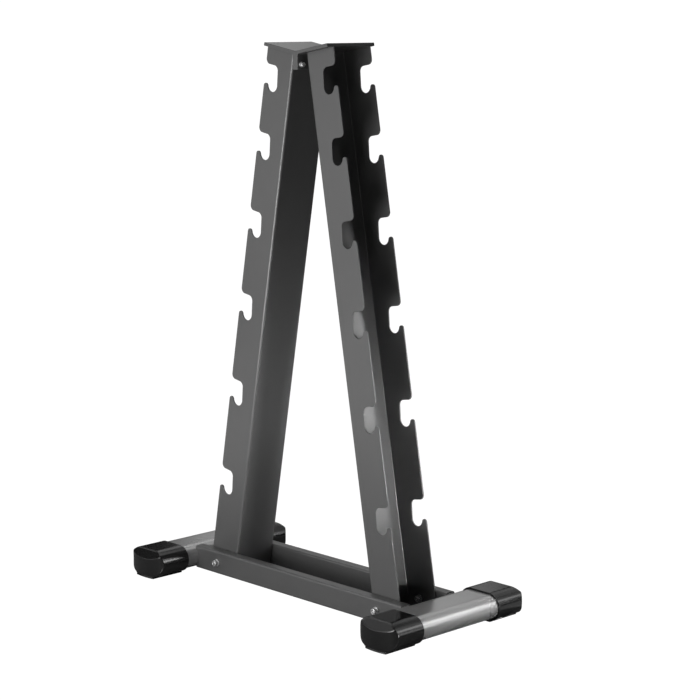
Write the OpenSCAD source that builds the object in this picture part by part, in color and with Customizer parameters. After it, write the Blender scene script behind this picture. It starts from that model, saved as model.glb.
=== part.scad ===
// A-frame dumbbell rack: two leaning sheet-metal uprights with J-hook notches, joined at the top by
// bent plates and standing between two rails on flat-oval feet with moulded end caps.
// Millimetres, +Z up. The origin is on the floor under the middle of the rack.
// X runs along the rails, Y along the feet, and the front is -Y.

/* [Uprights] */
// Angle between each upright and the vertical, in degrees
lean = 9.9; // [8:0.1:10.5]
// Height of the inner top corner of the channel above the floor
upright_top = 1132.5; // [1090:0.5:1180]
// Distance from the middle of the rack to the inner face of the channel at its top
top_gap = 17.5; // [17:0.5:24]
// Size of the channel from outside flange to outside flange
channel_depth = 104; // [94:1:106]
// Width of a flange, from the web's inner face to the hook line
flange_width = 79.8; // [78:0.1:80]
// Thickness of the sheet
sheet = 3; // [2.5:0.5:4]
// Outer radius of the folds between web and flanges
fold_radius = 5; // [4.5:0.5:7]

/* [Hooks] */
// Distance along the channel from its top end to the middle of the first throat
first_hook = 76.6; // [74:0.2:86]
// Distances along the channel from each throat to the next one down
hook_steps = [142, 166, 180, 191, 204]; // [120:1:210]
// Radius of the round seat that a handle lies in
throat_radius = 14.4; // [14.1:0.1:16]
// Material left between the web's inner face and the throat
throat_back = 39.6; // [39:0.1:40]
// Radius of the rounded tooth in front of the throat
tooth_radius = 6.1; // [5.8:0.1:8]
// Height of the notch's flat ceiling above the middle of the throat
ceiling = 40.2; // [38:0.1:46]
// How far the back wall of the notch moves outwards on its way up
wall_draft = 3; // [0:0.1:5]
// Radius of the inner corner under the ceiling
ceiling_corner_radius = 11; // [6:0.5:12]
// Radius of the lobe above the mouth
lobe_radius = 10.8; // [6:0.1:14]

/* [Top brackets] */
// Thickness of the bent plates on top of the uprights
plate = 7; // [4:0.5:7]
// Width of the plates from front to back
plate_depth = 131; // [124:1:140]
// Reach of a plate outwards from the channel's inner face
plate_reach = 77.5; // [60:0.5:78]
// Depth of the inner corner of the bend between plate and vertical flange
plate_bend = 3; // [2:0.5:5]
// Outer radius of that bend, whose corner is pressed nearly square
plate_corner = 3.5; // [2:0.5:5]
// Depth of the vertical flanges below the top of the channel
bracket_drop = 33.5; // [30:0.5:40]
// Distance of the top screws from the middle of the rack, front and back
top_screw_y = 55; // [54:0.5:57]
// Height of the top screws above the lower edge of the vertical flanges
top_screw_rise = 10.5; // [9:0.5:14]

/* [Base] */
// Height of the middle of the feet and rails above the floor
base_height = 32.5; // [30:0.5:36]
// Width of a rail from front to back
rail_width = 25; // [20:1:30]
// Height of a rail
rail_height = 50; // [45:1:50]
// Wall of a rail
rail_wall = 2; // [1.5:0.5:3]
// Outer corner radius of a rail
rail_radius = 4.5; // [3:0.5:6]
// Distance from the middle of the rack to each rail end
rail_reach = 315.5; // [310:0.5:318]
// Distance from the middle of the rack to the base screws
base_screw_x = 245; // [240:1:250]

/* [Feet] */
// Distance from the middle of the rack to the middle of each foot
foot_x = 356; // [354:0.5:358]
// Width of the flat-oval foot tube
foot_width = 100; // [98:1:104]
// Height of the flat-oval foot tube
foot_height = 50; // [48:1:52]
// Wall of the foot tube
foot_wall = 2.5; // [2:0.5:4]
// Distance from the middle of the foot to the lip of each cap
cap_lip_y = 108; // [100:1:120]
// Distance from the middle of the foot to the outer end of each cap
cap_end_y = 191; // [186:1:200]
// Wall of the cap around the tube
cap_wall = 3.5; // [2.5:0.5:3.5]
// Thickness of the cap beyond the end of the tube
cap_end_wall = 19; // [18:1:24]
// Radius of the cap's bowed end, seen from above
cap_bow = 150; // [120:5:300]
// How far back the slanted corners beside the bowed end begin
cap_corner = 5; // [2:1:16]
// Run and drop of the slanted facet on the top of the cap's end
cap_facet = [16, 19]; // [8:1:22]
// Width of the flat pad that stands on the floor
pad_width = 56; // [40:1:60]

/* [Spigots] */
// Clearance between a spigot and the inside of its rail
spigot_gap = 0.5; // [0.3:0.1:1]
// Distance from the middle of the rack to a spigot's inner end
spigot_end_x = 222; // [215:1:230]

/* [Fasteners] */
// Screw diameter, clearance hole, head diameter, head height and hexagon socket at the base
base_screw = [8, 9, 13, 8, 6];
// Length of a base screw under its head
base_screw_length = 40; // [38:1:45]
// Screw diameter, clearance hole, head diameter, head height and hexagon socket at the top
top_screw = [6, 6.6, 10, 6, 5];
// Length of a top screw under its head
top_screw_length = 24; // [24:1:25]
// Outer diameter of the base washers
base_washer = 16; // [15:1:17]
// Outer diameter of the top washers
top_washer = 12; // [11:1:14]
// Thickness of every washer
washer_t = 1.6; // [1:0.1:2]

/* [Hidden] */
$fn = 96;

charcoal = [0.30, 0.30, 0.31];
silver = [0.60, 0.61, 0.62];
black = [0.07, 0.07, 0.07];
zinc = [0.80, 0.80, 0.82];

left = -1;
right = 1;
front = -1;
rear = 1;

past = 1;                                   // how far a cutter runs past what it cuts
wide = 400;                                 // larger than any part that a cutter crosses
end_gap = 4;                                // from the bottom of the rails up to the uprights
nut_height = 1;                             // as a share of the screw diameter
nut_width = 1.625;                          // across flats, as a share of the screw diameter

flange_y = channel_depth / 2;               // outer face of a flange
rail_outer_y = flange_y + rail_width;       // outer face of a rail
rail_bottom = base_height - rail_height / 2;
channel_length = (upright_top - rail_bottom) / cos(lean) + flange_width;
bracket_bottom = upright_top - bracket_drop;
tube_end_y = cap_end_y - cap_end_wall;
cap_width = foot_width + 2 * cap_wall;
cap_height = foot_height + 2 * cap_wall;

// Distance of hook i from the top end of the channel
function hook_at(i) = i == 0 ? first_hook : hook_at(i - 1) + hook_steps[i - 1];

// Unit vector at an angle in degrees
function dir(a) = [cos(a), sin(a)];

module on_side(side) {
    if (side == left) mirror([1, 0, 0]) children();
    else children();
}

module on_face(face) {
    if (face == front) mirror([0, 1, 0]) children();
    else children();
}

// Rectangle with round corners, from corner radius r
module rounded(w, h, r) {
    square([w - 2 * r, h], center = true);
    square([w, h - 2 * r], center = true);
    for (x = [-1, 1], y = [-1, 1])
        translate([x * (w / 2 - r), y * (h / 2 - r)]) circle(r = r);
}

// Flat oval: two half circles joined by straight sides
module flat_oval(w, h) {
    square([w - h, h], center = true);
    for (x = [-1, 1]) translate([x * (w - h) / 2, 0]) circle(d = h);
}

// ---- Uprights -------------------------------------------------------------------------------

// Local frame of the right upright: X outwards square to the channel, Z up along it,
// with the origin at the inner top corner
module upright_frame() {
    translate([top_gap, 0, upright_top]) rotate([0, -lean, 0]) children();
}

// Section of the channel: web at x = 0, flanges towards +X
module channel_section() {
    difference() {
        union() {
            translate([fold_radius, -flange_y]) square([flange_width - fold_radius, channel_depth]);
            translate([flange_width / 4, 0]) rounded(flange_width / 2, channel_depth, fold_radius);
        }
        translate([flange_width / 2 + sheet, 0])
            rounded(flange_width, channel_depth - 2 * sheet, fold_radius - sheet);
        translate([flange_width / 2, sheet - flange_y])
            square([flange_width, channel_depth - 2 * sheet]);
    }
}

// One notch in the flange, with the middle of its throat at y = 0 and x from the web's face.
// The throat and the tooth are circles that touch, so the edge runs smoothly from one to the other.
module notch() {
    throat = [throat_back + throat_radius, 0];
    tooth_x = flange_width - tooth_radius;
    tooth_drop = sqrt(max(0, pow(throat_radius + tooth_radius, 2) - pow(tooth_x - throat.x, 2)));
    tooth = [tooth_x, -tooth_drop];
    corner = [throat_back + wall_draft + ceiling_corner_radius, ceiling - ceiling_corner_radius];
    lobe = [flange_width - lobe_radius, ceiling + lobe_radius];
    run = corner - throat;
    tangent = atan2(run.y, run.x) + acos((throat_radius - ceiling_corner_radius) / norm(run));
    difference() {
        union() {
            translate(throat) circle(r = throat_radius);
            translate(corner) circle(r = ceiling_corner_radius);
            polygon([
                throat, tooth, [flange_width + past, tooth.y], [flange_width + past, ceiling],
                [corner.x, ceiling], corner + ceiling_corner_radius * dir(tangent),
                throat + throat_radius * dir(tangent)
            ]);
            translate([lobe.x, ceiling - past]) square([lobe_radius + past, lobe_radius + past]);
        }
        translate(tooth) circle(r = tooth_radius);
        translate(lobe) circle(r = lobe_radius);
    }
}

module upright(side) {
    color(charcoal) on_side(side) difference() {
        upright_frame() difference() {
            translate([0, 0, -channel_length]) linear_extrude(channel_length) channel_section();
            for (i = [0 : len(hook_steps)])
                translate([0, 0, -hook_at(i)])
                    rotate([90, 0, 0]) linear_extrude(wide, center = true) notch();
        }
        translate([0, -wide / 2, rail_bottom + end_gap - wide]) cube(wide);
        base_hole();
    }
}

// ---- Top brackets ---------------------------------------------------------------------------

// Side outline of the right bracket: a vertical flange and a plate square to the upright, which
// both start from the round outer corner of the bend, with the inner corner of the bend filled in.
module bracket_outline() {
    outer = plate + plate_bend;
    bend = [outer, upright_top - (top_gap - outer) * tan(lean) - plate_bend / cos(lean)];
    bend_u = (bend.x - top_gap) * cos(lean) + (bend.y - upright_top) * sin(lean);
    corner = (outer - plate_corner) * [-1, (1 - sin(lean)) / cos(lean)];
    flange_length = corner.y + bend.y - bracket_bottom;
    plate_length = plate_reach - bend_u - corner * dir(lean);
    on_flange = [-plate_bend, 0];
    on_plate = plate_bend * dir(90 + lean);
    overlap = 0.3 * (on_plate - on_flange);
    translate(bend) {
        translate(corner) {
            circle(r = plate_corner);
            translate([-plate_corner, -flange_length]) square([plate, flange_length]);
            rotate(lean) translate([0, plate_corner - plate]) square([plate_length, plate]);
        }
        polygon([on_flange - overlap, on_plate + overlap, corner]);
    }
}

module top_bracket(side) {
    color(charcoal) on_side(side) difference() {
        rotate([90, 0, 0]) linear_extrude(plate_depth, center = true) bracket_outline();
        for (face = [front, rear])
            at_top_screw(face) cylinder(d = top_screw[1], h = wide, center = true);
    }
}

// ---- Base -----------------------------------------------------------------------------------

module rail(face) {
    color(charcoal) difference() {
        translate([0, face * (flange_y + rail_width / 2), base_height]) rotate([90, 0, 90])
            linear_extrude(2 * rail_reach, center = true) difference() {
                rounded(rail_width, rail_height, rail_radius);
                rounded(rail_width - 2 * rail_wall, rail_height - 2 * rail_wall, rail_radius - rail_wall);
            }
        for (side = [left, right]) {
            foot_body(side, foot_width, foot_height);
            on_side(side) base_hole();
        }
    }
}

// Short tube that reaches from the foot into the end of a rail
module spigot(side, face) {
    width = rail_width - 2 * rail_wall - 2 * spigot_gap;
    height = rail_height - 2 * rail_wall - 2 * spigot_gap;
    color(silver) on_side(side) difference() {
        translate([spigot_end_x, face * (flange_y + rail_width / 2), base_height]) rotate([90, 0, 90])
            linear_extrude(rail_reach - spigot_end_x) difference() {
                rounded(width, height, rail_radius - rail_wall);
                rounded(width - 2 * rail_wall, height - 2 * rail_wall, rail_wall / 2);
            }
        foot_body(right, foot_width, foot_height);
        base_hole();
    }
}

// ---- Feet -----------------------------------------------------------------------------------

// Solid flat oval along the whole foot
module foot_body(side, width, height) {
    translate([side * foot_x, 0, base_height]) rotate([90, 0, 0])
        linear_extrude(2 * tube_end_y, center = true) flat_oval(width, height);
}

module foot_tube(side) {
    color(silver) difference() {
        foot_body(side, foot_width, foot_height);
        translate([side * foot_x, 0, base_height]) rotate([90, 0, 0])
            linear_extrude(wide + past, center = true)
                flat_oval(foot_width - 2 * foot_wall, foot_height - 2 * foot_wall);
    }
}

// Outline of a cap from above: straight sides, slanted corners and an open end
module cap_plan() {
    half = cap_width / 2;
    side_end = cap_end_y - cap_bow + sqrt(pow(cap_bow, 2) - pow(half, 2)) - cap_corner;
    polygon([
        [-half, cap_lip_y], [half, cap_lip_y], [half, side_end], [0, side_end + half], [-half, side_end]
    ]);
}

// Moulded boot: a flat oval whose end is bowed in plan and slanted off at the top,
// with a narrower pad below that reaches the floor
module cap(side, face) {
    half = cap_height / 2;
    color(black) on_face(face) difference() {
        translate([side * foot_x, 0, base_height]) intersection() {
            union() {
                translate([0, cap_end_y, 0]) rotate([90, 0, 0])
                    linear_extrude(cap_end_y - cap_lip_y) flat_oval(cap_width, cap_height);
                translate([-pad_width / 2, cap_lip_y, -base_height])
                    cube([pad_width, cap_end_y - cap_lip_y, base_height]);
            }
            translate([0, cap_end_y - cap_bow, 0]) cylinder(r = cap_bow, h = wide, center = true);
            linear_extrude(wide, center = true) cap_plan();
            rotate([90, 0, 90]) linear_extrude(wide, center = true)
                polygon([
                    [cap_lip_y, -base_height], [cap_end_y, -base_height],
                    [cap_end_y, half - cap_facet[1]], [cap_end_y - cap_facet[0], half], [cap_lip_y, half]
                ]);
        }
        foot_body(side, foot_width, foot_height);
    }
}

// ---- Fasteners ------------------------------------------------------------------------------
// A fastener stands on z = 0 with its head or nut towards +Z.

module socket_screw(size, length) {
    bevel = size[3] / 8;
    difference() {
        union() {
            cylinder(d = size[2], h = size[3] - bevel);
            translate([0, 0, size[3] - bevel]) cylinder(d1 = size[2], d2 = size[2] - 2 * bevel, h = bevel);
            translate([0, 0, -length]) cylinder(d = size[0], h = length);
        }
        translate([0, 0, size[3] / 2]) cylinder(d = size[4] / cos(30), h = size[3], $fn = 6);
    }
}

// Hexagon nut with the round collar of a lock nut
module lock_nut(size) {
    height = size[0] * nut_height;
    flats = size[0] * nut_width;
    difference() {
        union() {
            cylinder(d = flats / cos(30), h = height * 0.7, $fn = 6);
            cylinder(d = flats * 0.86, h = height);
        }
        translate([0, 0, -past]) cylinder(d = size[0], h = height + 2 * past);
    }
}

module washer(size, outer) {
    difference() {
        cylinder(d = outer, h = washer_t);
        translate([0, 0, -past]) cylinder(d = size[1], h = washer_t + 2 * past);
    }
}

// Clearance hole along Y for the base screws on the right side
module base_hole() {
    translate([base_screw_x, 0, base_height]) rotate([90, 0, 0])
        cylinder(d = base_screw[1], h = wide, center = true);
}

// Puts its children at each base screw, on the outer face of the rail and facing outwards
module at_base_screws() {
    for (side = [left, right], face = [front, rear])
        translate([side * base_screw_x, face * rail_outer_y, base_height])
            rotate([-90 * face, 0, 0]) children();
}

// Puts its children on the axis of a top screw, facing +X
module at_top_screw(face) {
    translate([0, face * top_screw_y, bracket_bottom + top_screw_rise]) rotate([0, 90, 0]) children();
}

module base_screws() {
    color(zinc) at_base_screws() translate([0, 0, washer_t]) socket_screw(base_screw, base_screw_length);
}

module base_washers() {
    color(zinc) at_base_screws() for (z = [0, -rail_width - sheet - washer_t])
        translate([0, 0, z]) washer(base_screw, base_washer);
}

module base_nuts() {
    color(zinc) at_base_screws() translate([0, 0, -rail_width - sheet - washer_t])
        rotate([180, 0, 0]) lock_nut(base_screw);
}

module top_screws() {
    color(zinc) for (face = [front, rear]) at_top_screw(face)
        translate([0, 0, plate + washer_t]) socket_screw(top_screw, top_screw_length);
}

module top_washers() {
    color(zinc) for (face = [front, rear]) at_top_screw(face)
        for (z = [plate, -plate - washer_t]) translate([0, 0, z]) washer(top_screw, top_washer);
}

module top_nuts() {
    color(zinc) for (face = [front, rear]) at_top_screw(face)
        translate([0, 0, -plate - washer_t]) rotate([180, 0, 0]) lock_nut(top_screw);
}

upright(left);  // left_upright
upright(right);  // right_upright
top_bracket(left);  // left_top_bracket
top_bracket(right);  // right_top_bracket
rail(front);  // front_rail
rail(rear);  // rear_rail
foot_tube(left);  // left_foot_tube
foot_tube(right);  // right_foot_tube
cap(left, front);  // left_front_cap
cap(left, rear);  // left_rear_cap
cap(right, front);  // right_front_cap
cap(right, rear);  // right_rear_cap
spigot(left, front);  // left_front_spigot
spigot(left, rear);  // left_rear_spigot
spigot(right, front);  // right_front_spigot
spigot(right, rear);  // right_rear_spigot
base_screws();
base_washers();
base_nuts();
top_screws();
top_washers();
top_nuts();
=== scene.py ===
"""Looks of an A-frame dumbbell rack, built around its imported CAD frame.

Lengths are in metres in the row's frame: +Z up, +X along the rails towards the right foot, and
-Y towards the front.
"""

import math

import bmesh
import bpy
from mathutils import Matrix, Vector

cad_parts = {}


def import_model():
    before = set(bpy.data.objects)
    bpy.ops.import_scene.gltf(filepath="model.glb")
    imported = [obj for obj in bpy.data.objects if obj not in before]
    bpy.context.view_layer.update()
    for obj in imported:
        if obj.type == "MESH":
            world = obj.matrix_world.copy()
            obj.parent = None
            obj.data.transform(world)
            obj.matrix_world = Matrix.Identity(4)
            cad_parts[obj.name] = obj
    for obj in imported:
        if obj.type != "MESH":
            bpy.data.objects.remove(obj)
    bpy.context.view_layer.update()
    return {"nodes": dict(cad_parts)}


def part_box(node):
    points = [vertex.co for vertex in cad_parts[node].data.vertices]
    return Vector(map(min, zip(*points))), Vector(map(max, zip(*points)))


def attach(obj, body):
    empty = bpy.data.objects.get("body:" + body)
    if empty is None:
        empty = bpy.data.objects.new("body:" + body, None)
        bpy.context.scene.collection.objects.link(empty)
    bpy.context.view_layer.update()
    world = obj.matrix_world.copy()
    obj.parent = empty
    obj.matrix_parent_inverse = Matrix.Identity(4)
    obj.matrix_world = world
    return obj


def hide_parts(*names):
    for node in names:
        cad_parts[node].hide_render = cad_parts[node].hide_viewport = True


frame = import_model()

MM = 0.001
SAME_PLACE = 1e-7  # points nearer than this are one point
LEFT, RIGHT = -1, 1
FRONT, REAR = -1, 1
SIDES = {"left": LEFT, "right": RIGHT}
FACES = {"front": FRONT, "rear": REAR}

# ---- Sizes ------------------------------------------------------------------------------------

# Uprights. Local axes: u outwards square to the channel, w up along it, from its inner top corner.
LEAN = math.radians(9.9)
UPRIGHT_TOP = 1132.5 * MM
UPRIGHT_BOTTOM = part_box("right_upright")[0].z
TOP_GAP = 17.5 * MM  # from the rack's middle to an upright's inner top corner
FLANGE_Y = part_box("right_upright")[1].y
FLANGE = 79.8 * MM
SHEET = 3 * MM
SHEET_EDGE = 0.5 * MM
FOLD = 5 * MM  # outer radius of the folds
FOLD_STEPS = 6

# Hooks, measured from the centre of each round throat
FIRST_HOOK = 76.6 * MM
HOOK_SPACINGS = [142 * MM, 166 * MM, 180 * MM, 191 * MM, 204 * MM]
THROAT_R = 14.4 * MM
THROAT_BACK = 39.6 * MM  # u of the wall behind the throat
WALL_DRAFT = 3 * MM  # how far that wall leans outwards on its way up
CEILING = 40.2 * MM  # from the centre of the throat up to the ceiling
CEILING_R = 11 * MM  # corner between wall and ceiling
LOBE_R = 10.8 * MM  # corner above the mouth
TOOTH_R = 6.1 * MM
LOBE_STEPS, CEILING_STEPS, THROAT_STEPS, TOOTH_STEPS = 16, 14, 36, 20

# Top brackets
PLATE = 7 * MM
PLATE_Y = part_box("right_top_bracket")[1].y
PLATE_REACH = 77.5 * MM
PLATE_BEND = 3 * MM  # inner radius of the bend between plate and flange
PLATE_CORNER_R = 3.5 * MM  # outer radius of that bend
PLATE_RIM = 1.1 * MM  # rounding of the two free rims
PLATE_EDGE = 0.5 * MM  # rounding of the front and rear edges
PLATE_BEND_STEPS, PLATE_CORNER_STEPS, PLATE_RIM_STEPS = 8, 10, 4
BRACKET_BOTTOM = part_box("right_top_bracket")[0].z

# Rails
RAIL_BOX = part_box("front_rail")
RAIL_REACH = RAIL_BOX[1].x
RAIL_WIDTH = RAIL_BOX[1].y - RAIL_BOX[0].y
RAIL_HEIGHT = RAIL_BOX[1].z - RAIL_BOX[0].z
RAIL_WALL = 2 * MM
RAIL_R = 4.5 * MM

# Feet
FOOT_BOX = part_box("right_foot_tube")
FOOT_X = (FOOT_BOX[0].x + FOOT_BOX[1].x) / 2
FOOT_WIDTH = FOOT_BOX[1].x - FOOT_BOX[0].x
FOOT_HEIGHT = FOOT_BOX[1].z - FOOT_BOX[0].z
FOOT_WALL = 2.5 * MM
BASE_Z = (FOOT_BOX[0].z + FOOT_BOX[1].z) / 2
TUBE_END = FOOT_BOX[1].y

# Caps
CAP_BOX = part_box("right_rear_cap")
CAP_LIP = CAP_BOX[0].y
CAP_END = CAP_BOX[1].y
CAP_WIDTH = CAP_BOX[1].x - CAP_BOX[0].x
CAP_WALL = (CAP_WIDTH - FOOT_WIDTH) / 2
CAP_HEIGHT = FOOT_HEIGHT + 2 * CAP_WALL
CAP_STEPS = {"steps": 48, "side_steps": 40}
CAP_LIP_R = 0.8 * MM
CAP_LIP_DEPTH = 6 * MM  # how far the bore is modelled inside the lip
CAP_RIM = 2.6 * MM
CAP_RIM_STEPS = 5
CAP_END_RINGS = 44
# The cap's end: radius of its bow, slope and softness of its slanted facet, and its side corners
CAP_BOW = 150 * MM
CAP_FACET_RUN = 16 * MM
CAP_FACET_DROP = 19 * MM
CAP_FACET_SOFTNESS = 0.35 * MM
CAP_CORNER = 5 * MM
CAP_CORNER_SOFTNESS = 1.6 * MM

# The pad under a cap
PAD_WIDTH = 56 * MM
PAD_EDGE = 0.8 * MM
PAD_OVERLAP = 2 * MM  # how far it reaches up into the cap
PAD_FRONT_Z = -20 * MM  # its front follows the cap's end at this height
PAD_FRONT_STEPS = 24
PAD_RIM = 0.3 * MM  # the cap's rim above the pad
PAD_RIM_RUN = 6 * MM  # beside the pad, over which the rim grows to its full radius

# Fasteners. d, head, washer and hole are diameters. socket and flats are the sizes across the flats
# of a screw's socket and of its nut.
BASE_SCREW = {
    "d": 8 * MM, "head": 13 * MM, "height": 8 * MM, "socket": 6 * MM, "length": 40 * MM,
    "washer": 16 * MM, "hole": 9 * MM, "flats": 13 * MM,
}
TOP_SCREW = {
    "d": 6 * MM, "head": 10 * MM, "height": 6 * MM, "socket": 5 * MM, "length": 24 * MM,
    "washer": 12 * MM, "hole": 6.6 * MM, "flats": 9.75 * MM,
}
WASHER_T = 1.6 * MM
WASHER_EDGE = 0.25 * MM
KNURL = 0.12 * MM
TURN_STEPS = 72
BASE_SCREW_X = 245 * MM
TOP_SCREW_Y = 55 * MM
TOP_SCREW_Z = BRACKET_BOTTOM + 10.5 * MM


# ---- Materials --------------------------------------------------------------------------------


class Nodes:
    """A material's node tree, with short calls to add and link its nodes."""

    # The colour sockets of a Mix node, whose names it also gives to its number and vector sockets
    MIX_FACTOR, MIX_A, MIX_B, MIX_RESULT = 0, 6, 7, 2

    def __init__(self, name):
        self.material = bpy.data.materials.new(name)
        self.material.use_nodes = True
        self.tree = self.material.node_tree
        self.shader = self.tree.nodes["Principled BSDF"]
        self.place = self.add("ShaderNodeTexCoord").outputs["Object"]

    def add(self, kind, inputs=None, **settings):
        node = self.tree.nodes.new(kind)
        for key, value in settings.items():
            setattr(node, key, value)
        for key, value in (inputs or {}).items():
            if isinstance(value, bpy.types.NodeSocket):
                self.tree.links.new(value, node.inputs[key])
            else:
                node.inputs[key].default_value = value
        return node

    def noise(self, size, detail, roughness=0.5):
        """Noise whose features are about size metres across."""
        inputs = {"Vector": self.place, "Scale": 1 / size, "Detail": detail, "Roughness": roughness}
        return self.add("ShaderNodeTexNoise", inputs).outputs["Fac"]

    def ramp(self, value, low, high, to_low=0.0, to_high=1.0):
        """The value, spread from one range over another and held inside it."""
        ranges = {"From Min": low, "From Max": high, "To Min": to_low, "To Max": to_high}
        return self.add("ShaderNodeMapRange", {"Value": value, **ranges}).outputs["Result"]

    def mix(self, factor, a, b):
        """A colour between a and b."""
        inputs = {self.MIX_FACTOR: factor, self.MIX_A: a, self.MIX_B: b}
        return self.add("ShaderNodeMix", inputs, data_type="RGBA").outputs[self.MIX_RESULT]

    def bump(self, height, distance, strength):
        inputs = {"Height": height, "Distance": distance, "Strength": strength}
        return self.add("ShaderNodeBump", inputs).outputs["Normal"]

    def set(self, **sockets):
        """Sets or links the shader's sockets, named with underscores for spaces."""
        for key, value in sockets.items():
            socket = self.shader.inputs[key.replace("_", " ")]
            if isinstance(value, bpy.types.NodeSocket):
                self.tree.links.new(value, socket)
            else:
                socket.default_value = value


def grey(level):
    return (level, level, level, 1.0)


def charcoal_paint():
    """Satin charcoal powder coat: a fine orange-peel skin with faint cloudiness."""
    m = Nodes("charcoal_powder_coat")
    cloud = m.ramp(m.noise(0.09, 3), 0.35, 0.65)
    speck = m.ramp(m.noise(0.0011, 1), 0.3, 0.7)
    tone = m.mix(m.ramp(cloud, 0, 1, 0.15, 0.85), grey(0.062), grey(0.069))
    colour = m.mix(m.ramp(speck, 0, 1, 0, 0.25), tone, grey(0.085))
    rough = m.ramp(m.noise(0.12, 2), 0.2, 0.8, 0.345, 0.37)
    peel = m.bump(m.noise(0.0022, 2, 0.45), 0.00006, 0.6)
    m.set(Base_Color=colour, Roughness=rough, IOR=1.85, Normal=peel)
    return m.material


def silver_paint():
    """Silver-grey metallic paint: fine flakes under a smooth satin skin."""
    m = Nodes("silver_metallic_paint")
    flake = m.ramp(m.noise(0.004, 1), 0.3, 0.7)
    cloud = m.ramp(m.noise(0.12, 2), 0.35, 0.65)
    tone = m.mix(cloud, grey(0.48), grey(0.52))
    colour = m.mix(m.ramp(flake, 0, 1, 0, 0.12), tone, grey(0.62))
    rough = m.ramp(m.noise(0.2, 1), 0.2, 0.8, 0.27, 0.28)
    skin = m.bump(m.noise(0.012, 1, 0.4), 0.00001, 0.1)
    m.set(Base_Color=colour, Roughness=rough, Metallic=0.7, Normal=skin)
    return m.material


def black_boot():
    """Black moulded plastic with a satin skin and a very fine leathery grain."""
    m = Nodes("black_moulded_plastic")
    cloud = m.ramp(m.noise(0.05, 3), 0.35, 0.65)
    colour = m.mix(cloud, grey(0.0035), grey(0.005))
    rough = m.ramp(m.noise(0.1, 1), 0.2, 0.8, 0.195, 0.205)
    grain = m.bump(m.noise(0.0012, 1, 0.4), 0.000008, 0.5)
    m.set(Base_Color=colour, Roughness=rough, IOR=1.6, Normal=grain)
    return m.material


def zinc():
    """Bright zinc plate with a cloudy, slightly uneven sheen."""
    m = Nodes("bright_zinc_plate")
    cloud = m.ramp(m.noise(0.004, 3), 0.35, 0.65)
    colour = m.mix(cloud, grey(0.70), grey(0.78))
    rough = m.ramp(m.noise(0.003, 3), 0.3, 0.7, 0.22, 0.34)
    skin = m.bump(m.noise(0.0012, 2), 0.00002, 0.5)
    m.set(Base_Color=colour, Roughness=rough, Metallic=0.8, Normal=skin)
    return m.material


def nylon():
    """Dark nylon ring in a lock nut."""
    m = Nodes("dark_nylon")
    tone = m.mix(m.noise(0.002, 2), grey(0.02), grey(0.03))
    m.set(Base_Color=tone, Roughness=m.ramp(m.noise(0.002, 2), 0, 1, 0.4, 0.55))
    return m.material


MATERIALS = {
    "charcoal_paint": charcoal_paint(),
    "silver_paint": silver_paint(),
    "black_boot": black_boot(),
    "zinc": zinc(),
}
NYLON = nylon()


# ---- Mesh building ----------------------------------------------------------------------------


class Shape:
    """Points and faces of one piece."""

    def __init__(self):
        self.points = []
        self.faces = []

    def add(self, points):
        start = len(self.points)
        self.points.extend(Vector(p) for p in points)
        return list(range(start, len(self.points)))

    def bridge(self, a, b, closed=True):
        """Four-sided faces between two loops of the same length."""
        last = len(a) if closed else len(a) - 1
        for i in range(last):
            j = (i + 1) % len(a)
            self.faces.append((a[i], a[j], b[j], b[i]))

    def stack(self, loops):
        """Bridges each closed loop to the next one."""
        for a, b in zip(loops, loops[1:]):
            self.bridge(a, b)

    def fill(self, loop):
        self.faces.append(tuple(loop))

    def piece(self, name, nodes, slot, material=None):
        """Makes the object, in place of those CAD nodes."""
        mesh = bpy.data.meshes.new(name)
        mesh.from_pydata(self.points, [], self.faces)
        bm = bmesh.new()
        bm.from_mesh(mesh)
        bmesh.ops.remove_doubles(bm, verts=bm.verts, dist=SAME_PLACE)
        bmesh.ops.recalc_face_normals(bm, faces=bm.faces)
        bm.to_mesh(mesh)
        bm.free()
        mesh.polygons.foreach_set("use_smooth", [True] * len(mesh.polygons))
        obj = bpy.data.objects.new(name, mesh)
        bpy.context.scene.collection.objects.link(obj)
        mesh.materials.append(material or MATERIALS[slot])
        obj.modifiers.new("flat_faces_stay_flat", "WEIGHTED_NORMAL")
        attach(obj, "root")
        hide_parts(*nodes)


def arc(centre, radius, start, end, steps):
    """Points on a circle from one angle to another, in degrees, both ends included."""
    angles = (math.radians(start + (end - start) * i / steps) for i in range(steps + 1))
    return [(centre[0] + radius * math.cos(a), centre[1] + radius * math.sin(a)) for a in angles]


def without_repeats(points, closed=True):
    """The same line without repeated points."""
    kept = []
    for p in points:
        if not kept or math.dist(p, kept[-1]) > SAME_PLACE:
            kept.append(p)
    if closed and math.dist(kept[0], kept[-1]) < SAME_PLACE:
        kept.pop()
    return kept


def insets(outline, closed=True):
    """For each point of a counter-clockwise outline, the step that moves its edges in by one.

    At a corner sharper than most_sharp allows, the step is held short.
    """
    most_sharp = 0.4
    steps = []
    n = len(outline)
    for i, p in enumerate(outline):
        before = outline[i - 1] if closed or i > 0 else None
        after = outline[(i + 1) % n] if closed or i < n - 1 else None
        normals = []
        for a, b in ((before, p), (p, after)):
            if a is not None and b is not None:
                run = Vector((b[0] - a[0], b[1] - a[1])).normalized()
                normals.append(Vector((-run.y, run.x)))
        middle = sum(normals, Vector((0, 0))).normalized()
        steps.append(middle / max(most_sharp, middle.dot(normals[0])))
    return steps


def moved_in(outline, steps, inset):
    """The outline with every point moved in along its step."""
    return [(p[0] + step.x * inset, p[1] + step.y * inset) for p, step in zip(outline, steps)]


def quarter_round(radius, steps=3):
    """(inset, depth) down a rounded edge, from the rim of a flat face to its side."""
    turns = [math.pi / 2 * i / steps for i in range(steps + 1)]
    return [(radius * (1 - math.sin(t)), radius * (1 - math.cos(t))) for t in turns]


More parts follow.
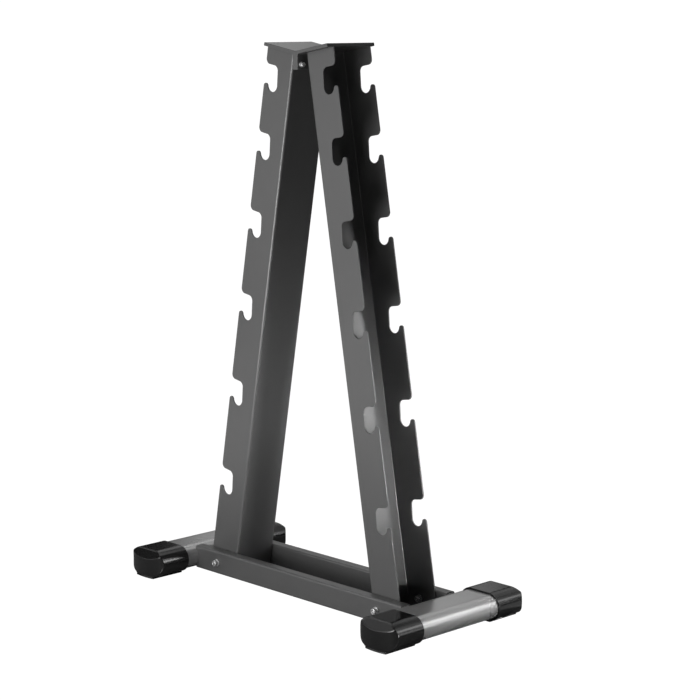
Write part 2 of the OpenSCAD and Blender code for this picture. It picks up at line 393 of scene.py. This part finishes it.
def edge_profile(radius, thickness):
    """(inset, depth) round the edge of a sheet, from its front skin to its back skin."""
    front = quarter_round(radius)
    return front + [(inset, thickness - depth) for inset, depth in reversed(front)]


def prism(shape, outline, low, high, edge, place):
    """A plate cut to a counter-clockwise outline from low to high, with rounded edges.

    place turns (x, y, depth) into a point.
    """
    steps = insets(outline)
    loops = []
    for inset, depth in edge_profile(edge, high - low):
        ring = moved_in(outline, steps, inset)
        loops.append(shape.add([place(x, y, low + depth) for x, y in ring]))
    shape.stack(loops)
    shape.fill(loops[0])
    shape.fill(loops[-1])


# ---- Uprights ---------------------------------------------------------------------------------


def hook_outline(hook_w):
    """Edge of one notch, from the lobe above its mouth down to the tooth, as (u, w)."""
    throat = Vector((THROAT_BACK + THROAT_R, hook_w))
    tooth_u = FLANGE - TOOTH_R
    drop = math.sqrt((THROAT_R + TOOTH_R) ** 2 - (tooth_u - throat.x) ** 2)
    tooth = Vector((tooth_u, hook_w - drop))
    corner = Vector((THROAT_BACK + WALL_DRAFT + CEILING_R, hook_w + CEILING - CEILING_R))
    lobe = Vector((FLANGE - LOBE_R, hook_w + CEILING + LOBE_R))
    run = corner - throat
    wall = math.degrees(math.atan2(run.y, run.x) + math.acos((THROAT_R - CEILING_R) / run.length))
    meet = math.degrees(math.atan2(drop, throat.x - tooth_u))
    return (
        arc(lobe, LOBE_R, 0, -90, LOBE_STEPS)
        + arc(corner, CEILING_R, 90, wall, CEILING_STEPS)
        + arc(throat, THROAT_R, wall, 180 + meet, THROAT_STEPS)
        + arc(tooth, TOOTH_R, meet, 0, TOOTH_STEPS)
    )


def cut_level(u):
    """w at which a level cut at the foot of the upright meets the line at u."""
    return (UPRIGHT_BOTTOM - UPRIGHT_TOP - u * math.sin(LEAN)) / math.cos(LEAN)


def flange_edge():
    """Edge of a flange as (u, w), from the fold at its top, round the six hooks, to the fold."""
    edge = [(FOLD, 0.0), (FLANGE, 0.0)]
    hook_w = -FIRST_HOOK
    for step in [0.0, *HOOK_SPACINGS]:
        hook_w -= step
        edge += hook_outline(hook_w)
    edge += [(FLANGE, cut_level(FLANGE)), (FOLD, cut_level(FOLD))]
    return without_repeats(edge, closed=False)


def folds():
    """Centre and outward normal along both folds as (u, y), from the front flange to the rear."""
    section = []
    for face, start in ((FRONT, 270), (REAR, 180)):
        centre = (FOLD, face * (FLANGE_Y - FOLD))
        for i in range(FOLD_STEPS + 1):
            a = math.radians(start - 90 * i / FOLD_STEPS)
            section.append((centre, (math.cos(a), math.sin(a))))
    return section


def upright(side_name):
    """One bent sheet, whose rounded edge is made of loops that run round the whole of it."""
    side = SIDES[side_name]

    def place(u, y, w):
        along = TOP_GAP + u * math.cos(LEAN) - w * math.sin(LEAN)
        return (side * along, y, UPRIGHT_TOP + u * math.sin(LEAN) + w * math.cos(LEAN))

    flange = flange_edge()
    # The outline runs clockwise in (u, w), so the steps inwards are those of its mirror image.
    inwards = [-step for step in insets(flange, closed=False)]
    inwards[0], inwards[-1] = Vector((0, -1)), Vector((0, 1))
    section = folds()
    shape = Shape()

    def ring(face, inset, depth):
        y = face * (FLANGE_Y - depth)
        return shape.add([place(u, y, w) for u, w in moved_in(flange, inwards, inset)])

    def fold_line(inset, depth, top):
        points = []
        for (cu, cy), (nu, ny) in section[1:-1]:
            u, y = cu + nu * (FOLD - depth), cy + ny * (FOLD - depth)
            points.append(place(u, y, -inset if top else cut_level(u) + inset))
        return shape.add(points)

    profile = edge_profile(SHEET_EDGE, SHEET)
    fronts = [ring(FRONT, inset, depth) for inset, depth in profile]
    rears = [ring(REAR, inset, depth) for inset, depth in profile]
    tops = [fold_line(inset, depth, True) for inset, depth in profile]
    bottoms = [fold_line(inset, depth, False) for inset, depth in profile]
    loops = []
    for front, bottom, rear, top in zip(fronts, bottoms, rears, tops):
        loops.append(front + bottom + rear[::-1] + top[::-1])
    shape.stack(loops)
    for skin in (0, -1):
        shape.fill(fronts[skin])
        shape.fill(rears[skin])
        top_path = [fronts[skin][0], *tops[skin], rears[skin][0]]
        bottom_path = [fronts[skin][-1], *bottoms[skin], rears[skin][-1]]
        shape.bridge(top_path, bottom_path, closed=False)
    shape.piece(f"{side_name}_upright_sheet", [f"{side_name}_upright"], "charcoal_paint")


# ---- Top brackets -----------------------------------------------------------------------------


def bracket_outline():
    """Side view of the right bracket, counter-clockwise, as (x, z)."""
    lean = math.degrees(LEAN)
    r, steps = PLATE_RIM, PLATE_RIM_STEPS
    # The inner and the outer round of the bend have their centres on the line that halves it.
    bend_x = PLATE + PLATE_BEND
    bend_z = UPRIGHT_TOP - (TOP_GAP - bend_x) * math.tan(LEAN) - PLATE_BEND / math.cos(LEAN)
    reach = (PLATE + PLATE_BEND - PLATE_CORNER_R) / math.cos((math.pi / 2 - LEAN) / 2)
    halfway = math.radians(135) + LEAN / 2
    corner = (bend_x + reach * math.cos(halfway), bend_z + reach * math.sin(halfway))

    def on_plate(u, w):
        x = TOP_GAP + u * math.cos(LEAN) - w * math.sin(LEAN)
        return (x, UPRIGHT_TOP + u * math.sin(LEAN) + w * math.cos(LEAN))

    return without_repeats(
        arc((r, BRACKET_BOTTOM + r), r, 180, 270, steps)
        + arc((PLATE - r, BRACKET_BOTTOM + r), r, 270, 360, steps)
        + arc((bend_x, bend_z), PLATE_BEND, 180, 90 + lean, PLATE_BEND_STEPS)
        + arc(on_plate(PLATE_REACH - r, r), r, 270 + lean, 360 + lean, steps)
        + arc(on_plate(PLATE_REACH - r, PLATE - r), r, lean, 90 + lean, steps)
        + arc(corner, PLATE_CORNER_R, 90 + lean, 180, PLATE_CORNER_STEPS)
    )


def top_bracket(side_name):
    side = SIDES[side_name]
    shape = Shape()
    prism(shape, bracket_outline(), -PLATE_Y, PLATE_Y, PLATE_EDGE, lambda x, z, y: (side * x, y, z))
    shape.piece(f"{side_name}_bent_plate", [f"{side_name}_top_bracket"], "charcoal_paint")


# ---- Rails and feet ---------------------------------------------------------------------------


def rounded_box(width, height, radius, steps=7, side_steps=20):
    """Counter-clockwise rectangle with round corners and many points on its upright sides."""
    w, h = width / 2 - radius, height / 2 - radius
    rise = [h * (2 * i / side_steps - 1) for i in range(1, side_steps)]
    return without_repeats(
        [(width / 2, z) for z in rise]
        + arc((w, h), radius, 0, 90, steps)
        + arc((-w, h), radius, 90, 180, steps)
        + [(-width / 2, -z) for z in rise]
        + arc((-w, -h), radius, 180, 270, steps)
        + arc((w, -h), radius, 270, 360, steps)
    )


def flat_oval(width, height, steps=32, side_steps=6):
    """Counter-clockwise flat oval, from the right end of its lower side."""
    w, r = (width - height) / 2, height / 2
    run = [w * (2 * i / side_steps - 1) for i in range(1, side_steps)]
    top = [(-x, r) for x in run]
    bottom = [(x, -r) for x in run]
    return arc((w, 0), r, -90, 90, steps) + top + arc((-w, 0), r, 90, 270, steps) + bottom


def foot_side(z):
    """x of the foot tube's inner side at a height above its middle."""
    r = FOOT_HEIGHT / 2
    return FOOT_X - (FOOT_WIDTH - FOOT_HEIGHT) / 2 - math.sqrt(max(0.0, r * r - z * z))


def rail(face_name):
    face = FACES[face_name]
    middle_y = face * (FLANGE_Y + RAIL_WIDTH / 2)
    shape = Shape()
    outer = rounded_box(RAIL_WIDTH, RAIL_HEIGHT, RAIL_R)
    inner = rounded_box(RAIL_WIDTH - 2 * RAIL_WALL, RAIL_HEIGHT - 2 * RAIL_WALL, RAIL_R - RAIL_WALL)

    def loop(outline, side):
        ends = [side * min(RAIL_REACH, foot_side(z)) for _, z in outline]
        return shape.add([(x, middle_y + y, BASE_Z + z) for x, (y, z) in zip(ends, outline)])

    loops = [loop(outer, LEFT), loop(outer, RIGHT), loop(inner, RIGHT), loop(inner, LEFT)]
    shape.stack([*loops, loops[0]])
    shape.piece(f"{face_name}_rail_tube", [f"{face_name}_rail"], "charcoal_paint")


def foot_tube(side_name):
    side = SIDES[side_name]
    shape = Shape()
    outer = flat_oval(FOOT_WIDTH, FOOT_HEIGHT)
    inner = flat_oval(FOOT_WIDTH - 2 * FOOT_WALL, FOOT_HEIGHT - 2 * FOOT_WALL)

    def loop(outline, y):
        return shape.add([(side * FOOT_X + x, y, BASE_Z + z) for x, z in outline])

    ends = ((outer, -TUBE_END), (outer, TUBE_END), (inner, TUBE_END), (inner, -TUBE_END))
    loops = [loop(outline, y) for outline, y in ends]
    shape.stack([*loops, loops[0]])
    shape.piece(f"{side_name}_foot_oval", [f"{side_name}_foot_tube"], "silver_paint")


# ---- Caps -------------------------------------------------------------------------------------


def soft_min(values, softness):
    """The least of some lengths, with the creases between them rounded."""
    low = min(values)
    total = sum(math.exp(-(v - low) / softness) for v in values)
    return low - softness * math.log(total)


def cap_face(x, z):
    """How far along the foot a cap's end lies, at x and z from its middle.

    The end is bowed, turns into its sides round a soft corner and has a slanted facet at its top.
    """
    half = CAP_WIDTH / 2
    centre = CAP_END - CAP_BOW
    bow = centre + math.sqrt(CAP_BOW**2 - x * x)
    corner = centre + math.sqrt(CAP_BOW**2 - half * half) - CAP_CORNER + half - abs(x)
    facet_foot = CAP_HEIGHT / 2 - CAP_FACET_DROP
    facet = CAP_END - (z - facet_foot) * CAP_FACET_RUN / CAP_FACET_DROP
    return soft_min([soft_min([bow, corner], CAP_CORNER_SOFTNESS), facet], CAP_FACET_SOFTNESS)


def cap_rim(x, z):
    """Radius of a cap's rim, which is nearly sharp where the pad carries on below it."""
    if z >= 0 or abs(x) >= PAD_WIDTH / 2 + PAD_RIM_RUN:
        return CAP_RIM
    share = max(0.0, (abs(x) - PAD_WIDTH / 2) / PAD_RIM_RUN)
    return PAD_RIM + (CAP_RIM - PAD_RIM) * share * share * (3 - 2 * share)


def cap_shell(shape, place):
    """Round the tube's end: the lip from the inside out, the sides, the rounded rim and the end."""
    tube = flat_oval(FOOT_WIDTH, FOOT_HEIGHT, **CAP_STEPS)
    outline = flat_oval(CAP_WIDTH, CAP_HEIGHT, **CAP_STEPS)
    inwards = insets(outline)
    loops = []
    for y in (CAP_LIP + CAP_LIP_DEPTH, CAP_LIP):
        loops.append(shape.add([place(x, y, z) for x, z in tube]))
    for inset, depth in quarter_round(CAP_LIP_R):
        ring = moved_in(outline, inwards, inset)
        loops.append(shape.add([place(x, CAP_LIP + depth, z) for x, z in ring]))

    radii = [cap_rim(x, z) for x, z in outline]
    rim = [(p[0] + step.x * r, p[1] + step.y * r) for p, step, r in zip(outline, inwards, radii)]
    for inset, depth in reversed(quarter_round(1, CAP_RIM_STEPS)):
        points = []
        for p, step, r, inner in zip(outline, inwards, radii, rim):
            x, z = p[0] + step.x * r * inset, p[1] + step.y * r * inset
            points.append(place(x, cap_face(*inner) - r * depth, z))
        loops.append(shape.add(points))

    # The end is drawn in from its rim to the middle line of the oval.
    straight = (CAP_WIDTH - CAP_HEIGHT) / 2
    middle = [(max(-straight, min(straight, x)), 0.0) for x, _ in outline]
    for k in range(1, CAP_END_RINGS + 1):
        t = k / CAP_END_RINGS
        ring = [(a[0] + (b[0] - a[0]) * t, a[1] + (b[1] - a[1]) * t) for a, b in zip(rim, middle)]
        loops.append(shape.add([place(x, cap_face(x, z), z) for x, z in ring]))
    shape.stack(loops)


def cap_pad(shape, place):
    """The flat pad that stands on the floor. Its front runs on from the cap's end."""
    half = PAD_WIDTH / 2
    front = [half - PAD_WIDTH * i / PAD_FRONT_STEPS for i in range(PAD_FRONT_STEPS + 1)]
    plan = [(-half, CAP_LIP), (half, CAP_LIP)] + [(x, cap_face(x, PAD_FRONT_Z)) for x in front]
    steps = insets(plan)
    loops = []
    for inset, depth in quarter_round(PAD_EDGE):
        ring = moved_in(plan, steps, inset)
        loops.append(shape.add([place(x, y, depth - BASE_Z) for x, y in ring]))
    loops.append(shape.add([place(x, y, PAD_OVERLAP - CAP_HEIGHT / 2) for x, y in plan]))
    shape.stack(loops)
    shape.fill(loops[0])
    shape.fill(loops[-1])


def cap(side_name, face_name):
    side, face = SIDES[side_name], FACES[face_name]

    def place(x, y, z):
        return (side * FOOT_X + x, face * y, BASE_Z + z)

    shape = Shape()
    cap_shell(shape, place)
    cap_pad(shape, place)
    shape.piece(f"{side_name}_{face_name}_boot", [f"{side_name}_{face_name}_cap"], "black_boot")


# ---- Fasteners --------------------------------------------------------------------------------


def turned(shape, at, rows):
    """Loops round an axis from rows of (radius, height). A radius may depend on the angle."""
    loops = []
    for radius, height in rows:
        points = []
        for i in range(TURN_STEPS):
            a = 2 * math.pi * i / TURN_STEPS
            r = radius(a) if callable(radius) else radius
            points.append(at(r * math.cos(a), r * math.sin(a), height))
        loops.append(shape.add(points))
    shape.stack(loops)
    return loops


def hexagon(flats):
    """Radius of a hexagon at an angle, from its size across flats."""

    def radius(a):
        off = (a % (math.pi / 3)) - math.pi / 6
        return flats / 2 / math.cos(off)

    return radius


def socket_screw(shape, at, size):
    """Cap screw whose knurled head stands on height 0, with its shank below."""
    head, height, d = size["head"] / 2, size["height"], size["d"] / 2
    tip, chamfer = -size["length"], 0.8 * MM
    socket = hexagon(size["socket"])
    countersink = size["socket"] / 2 * 1.22

    def grip(a):
        return head - KNURL * (1 - math.cos(a * TURN_STEPS / 2)) / 2

    shank = [(0.4 * d, tip), (d - chamfer, tip), (d, tip + chamfer), (d, 0)]
    side = [(head - 0.4 * MM, 0), (grip, 0.4 * MM), (grip, height - 1.3 * MM)]
    crown = [
        (head - 0.05 * MM, height - 1.0 * MM), (head - 0.35 * MM, height - 0.45 * MM),
        (head - 0.8 * MM, height - 0.12 * MM), (head - 1.3 * MM, height),
    ]
    recess = [
        (countersink, height), (socket, height - 0.35 * MM), (socket, height / 2),
        (0.3 * d, height / 2 - chamfer),
    ]
    loops = turned(shape, at, shank + side + crown + recess)
    shape.fill(loops[0])
    shape.fill(loops[-1])


def washer(shape, at, size):
    hole, outer, r = size["hole"] / 2, size["washer"] / 2, WASHER_EDGE
    under = [(hole, 0), (outer - r, 0), (outer, r)]
    over = [
        (outer, WASHER_T - r), (outer - r, WASHER_T), (hole + r, WASHER_T), (hole, WASHER_T - r),
    ]
    turned(shape, at, [*under, *over, under[0]])


def lock_nut(steel, ring, at, size):
    """Chamfered hexagon nut with a rolled collar round a nylon ring."""
    d, height, flats = size["d"] / 2, size["d"], size["flats"]
    body = 0.7 * height
    collar = 0.43 * flats
    bevel = flats / 2 - 0.15 * MM

    def chamfered(level, up):
        """The hexagon's outline at a level, with its corners cut back by a cone of 30 degrees."""

        def sloped(x, y, z):
            past = max(0.0, math.hypot(x, y) - flats / 2)
            return at(x, y, z - up * past * math.tan(math.radians(30)))

        return turned(steel, sloped, [(hexagon(flats), level)])[0]

    low, high = chamfered(0, -1), chamfered(body, 1)
    under = turned(steel, at, [(d, 0), (bevel, 0)])
    over = turned(steel, at, [
        (bevel, body), (collar + 0.5 * MM, body), (collar, body + 0.4 * MM),
        (collar, height - 0.9 * MM), (collar - 0.25 * MM, height - 0.3 * MM),
        (collar - 0.8 * MM, height), (collar - 1.3 * MM, height - 0.15 * MM),
        (collar - 1.4 * MM, height - 1.2 * MM), (d, body - 0.3 * MM),
    ])
    steel.stack([under[-1], low, high, over[0]])
    steel.bridge(over[-1], under[0])

    inner, outer, top = d + 0.02 * MM, collar - 1.38 * MM, height - 0.5 * MM
    turned(ring, at, [
        (inner, body), (inner, top - 0.4 * MM), (inner + 0.35 * MM, top), (outer, top),
        (outer, body), (inner, body),
    ])


def base_frame(side, face, lift, up=1):
    """Place function on a base screw's axis, lifted off the rail's outer face. Up is outwards."""
    y0 = face * (FLANGE_Y + RAIL_WIDTH)

    def at(x, y, z):
        return (side * BASE_SCREW_X + x, y0 + face * (lift + up * z), BASE_Z + y)

    return at


def top_frame(face, lift, up=1):
    """Place function on a top screw's axis, lifted off the plates' meeting. Up is towards +X."""

    def at(x, y, z):
        return (lift + up * z, face * TOP_SCREW_Y + x, TOP_SCREW_Z + y)

    return at


def fastener_set(name, size, places):
    """Screws, washers and lock nuts of one size.

    Each of the places is four place functions: for a screw, the washer under its head, the washer
    under its nut, and the nut.
    """
    screws, washers, nuts, rings = Shape(), Shape(), Shape(), Shape()
    for screw_at, head_washer_at, nut_washer_at, nut_at in places:
        socket_screw(screws, screw_at, size)
        washer(washers, head_washer_at, size)
        washer(washers, nut_washer_at, size)
        lock_nut(nuts, rings, nut_at, size)
    screws.piece(f"{name}_cap_screws", [f"{name}_screws"], "zinc")
    washers.piece(f"{name}_flat_washers", [f"{name}_washers"], "zinc")
    nuts.piece(f"{name}_lock_nuts", [f"{name}_nuts"], "zinc")
    rings.piece(f"{name}_nut_rings", [f"{name}_nuts"], "zinc", NYLON)


def base_fasteners():
    inside = -RAIL_WIDTH - SHEET - WASHER_T
    places = []
    for side in SIDES.values():
        for face in FACES.values():
            places.append((
                base_frame(side, face, WASHER_T), base_frame(side, face, 0),
                base_frame(side, face, inside), base_frame(side, face, inside, -1),
            ))
    fastener_set("base", BASE_SCREW, places)


def top_fasteners():
    places = []
    for face in FACES.values():
        places.append((
            top_frame(face, PLATE + WASHER_T), top_frame(face, PLATE),
            top_frame(face, -PLATE, -1), top_frame(face, -PLATE - WASHER_T, -1),
        ))
    fastener_set("top", TOP_SCREW, places)


# ---- The rack ---------------------------------------------------------------------------------


def paint_spigot(side_name, face_name):
    """The spigots keep their CAD meshes and get the foot's paint."""
    materials = frame["nodes"][f"{side_name}_{face_name}_spigot"].data.materials
    materials.clear()
    materials.append(MATERIALS["silver_paint"])


def rack():
    for side_name in SIDES:
        upright(side_name)
        top_bracket(side_name)
        foot_tube(side_name)
        for face_name in FACES:
            cap(side_name, face_name)
            paint_spigot(side_name, face_name)
    for face_name in FACES:
        rail(face_name)
    base_fasteners()
    top_fasteners()


# ---- Stage ------------------------------------------------------------------------------------

WHITE = 1.05  # brightness of the floor and the backdrop to the camera
FILL = 0.01  # brightness of the backdrop to everything else
FLOOR_REACH = 30.0

CAMERA_PLACE = (2.964, -2.781, 1.213)
CAMERA_LOOK = Vector((-0.7108, 0.6847, -0.1609))
CAMERA_LENS = 102.3326  # in millimetres, as Blender wants it
CAMERA_SHIFT = (0.0067, -0.0194)


def floor():
    """Plain pale floor. The camera sees it evenly white, and it throws light back as paint does."""
    mesh = bpy.data.meshes.new("floor")
    r = FLOOR_REACH
    mesh.from_pydata([(-r, -r, 0), (r, -r, 0), (r, r, 0), (-r, r, 0)], [], [(0, 1, 2, 3)])
    obj = bpy.data.objects.new("floor", mesh)
    bpy.context.scene.collection.objects.link(obj)
    m = Nodes("pale_floor")
    m.set(Base_Color=m.mix(m.noise(0.6, 2), grey(0.29), grey(0.30)), Roughness=0.9)
    white = m.add("ShaderNodeEmission", {"Strength": WHITE})
    seen = m.add("ShaderNodeLightPath").outputs["Is Camera Ray"]
    both = m.add("ShaderNodeMixShader", {0: seen, 1: m.shader.outputs[0], 2: white.outputs[0]})
    m.tree.links.new(both.outputs[0], m.tree.nodes["Material Output"].inputs["Surface"])
    mesh.materials.append(m.material)


def area_light(name, place, towards, size, watts, spread=180):
    """Soft light that shines against a direction, within a spread in degrees.

    The camera doesn't see it.
    """
    data = bpy.data.lights.new(name, "AREA")
    data.shape = "RECTANGLE"
    data.size, data.size_y = size
    data.energy = watts
    data.spread = math.radians(spread)
    obj = bpy.data.objects.new(name, data)
    obj.location = place
    obj.rotation_euler = towards.to_track_quat("Z", "Y").to_euler()
    obj.visible_camera = False
    bpy.context.scene.collection.objects.link(obj)
    return obj


def bearing(azimuth, elevation=0):
    """Direction from the rack. Azimuth 0 is in front and 90 on the right."""
    a, e = math.radians(azimuth), math.radians(elevation)
    return Vector((math.sin(a) * math.cos(e), -math.cos(a) * math.cos(e), math.sin(e)))


def world():
    """White all round for the camera, and a faint even fill for everything else."""
    w = bpy.data.worlds.new("studio")
    bpy.context.scene.world = w
    w.use_nodes = True
    tree = w.node_tree
    back = tree.nodes["Background"]
    back.inputs["Color"].default_value = (1, 1, 1, 1)
    seen = tree.nodes.new("ShaderNodeLightPath")
    level = tree.nodes.new("ShaderNodeMapRange")
    level.inputs["To Min"].default_value = FILL
    level.inputs["To Max"].default_value = WHITE
    tree.links.new(seen.outputs["Is Camera Ray"], level.inputs["Value"])
    tree.links.new(level.outputs["Result"], back.inputs["Strength"])


def softboxes():
    """Broad lights all round, which look at the rack's middle axis."""
    far, narrow, wide, near = (1.5, 1.2), (1.2, 0.8), (1.6, 1.6), (0.6, 0.4)
    # Name: azimuth, elevation, distance, size, height that it looks at, watts
    boxes = {
        "front_low": (0, 5, 3.2, far, 0.45, 31),
        "front_high": (0, 32, 3.2, far, 0.45, 15.4),
        "front_near": (0, 4, 1.5, near, 0.2, 7.5),
        "front_left_low": (315, 5, 3.2, narrow, 0.45, 3.5),
        "front_left_high": (330, 32, 3.2, far, 0.45, 9),
        "front_left_near": (330, 4, 1.5, near, 0.2, 0.5),
        "left_high": (292, 38, 3.2, far, 0.45, 4.5),
        "left_top": (255, 62, 3.0, wide, 0.5, 10.7),
        "back_left_low": (225, 12, 3.2, narrow, 0.45, 1.7),
        "back_left_high": (240, 32, 3.2, far, 0.45, 4.5),
        "back_high": (210, 32, 3.2, far, 0.45, 3),
        "back_top": (195, 62, 3.0, wide, 0.5, 7.2),
        "back_middle": (180, 32, 3.2, far, 0.45, 3.4),
        "back_right_high": (150, 32, 3.2, far, 0.45, 2.5),
        "right_fill": (88, 5, 3.2, far, 0.45, 1.5),
        "back_fill": (190, 10, 3.2, far, 0.45, 8),
    }
    for name, (azimuth, elevation, distance, size, height, watts) in boxes.items():
        towards = bearing(azimuth, elevation)
        place = Vector((0, 0, height)) + towards * distance
        area_light(name, place, towards, size, watts)


def foot_highlight():
    """Narrow lights that draw the highlight along the right foot."""
    foot = Vector((0.35, 0, 0.05))
    distance, size, spread = 3.0, (0.9, 0.6), 30
    # Name: azimuth, elevation, watts
    lines = {"foot_line": (139, 27, 0.19), "foot_line_upper": (144, 40, 0.03)}
    for name, (azimuth, elevation, watts) in lines.items():
        towards = bearing(azimuth, elevation)
        area_light(name, foot + towards * distance, towards, size, watts, spread)


def low_lights():
    """Narrow lights from the right: into the channel, on its outer edges and low from behind."""
    # Name: azimuth, distance, height, height aimed at, size, spread, watts
    lamps = {
        "right_channel": (90, 2.2, 0.08, 0.33, (0.5, 0.12), 22, 1.25),
        "right_back_low": (120, 1.7, 0.35, 0.2, (0.5, 0.35), 36, 0.16),
        "cut_edges": (133, 2.2, 0.8, 0.38, (0.5, 0.4), 20, 0.15),
    }
    for name, (azimuth, distance, height, aim, size, spread, watts) in lamps.items():
        place = bearing(azimuth) * distance + Vector((0, 0, height))
        area_light(name, place, place - Vector((0, 0, aim)), size, watts, spread)


def bright_floor():
    """Patches of floor that glow upwards, each one a strip that leads away from the rack."""
    lift = 0.6 * MM
    # Name: azimuth, near and far end, width, radiance
    patches = {
        "floor_front_right": (47, 1.5, 2.5, 0.5, 2.4),
        "floor_front_right_far": (47, 2.5, 4.2, 0.5, 5.8),
        "floor_back_right": (133, 0.45, 1.1, 0.6, 0.4),
        "floor_front": (10, 1.8, 8.0, 0.8, 3.4),
        "floor_left": (270, 0.9, 3.0, 3.0, 0.72),
    }
    for name, (azimuth, start, end, width, radiance) in patches.items():
        place = bearing(azimuth) * (start + end) / 2 + Vector((0, 0, lift))
        watts = radiance * math.pi * (end - start) * width
        patch = area_light(name, place, Vector((0, 0, -1)), (width, end - start), watts)
        # Face up, with its length along the bearing
        patch.rotation_euler = (math.pi, 0, math.radians(azimuth))


def camera():
    data = bpy.data.cameras.new("camera")
    obj = bpy.data.objects.new("camera", data)
    bpy.context.scene.collection.objects.link(obj)
    obj.location = CAMERA_PLACE
    obj.rotation_euler = CAMERA_LOOK.to_track_quat("-Z", "Y").to_euler()
    data.lens = CAMERA_LENS
    data.shift_x, data.shift_y = CAMERA_SHIFT
    data.clip_start, data.clip_end = 0.1, 100
    bpy.context.scene.camera = obj


rack()
floor()
world()
softboxes()
foot_highlight()
low_lights()
bright_floor()
camera()
bpy.context.scene.view_settings.view_transform = "Standard"
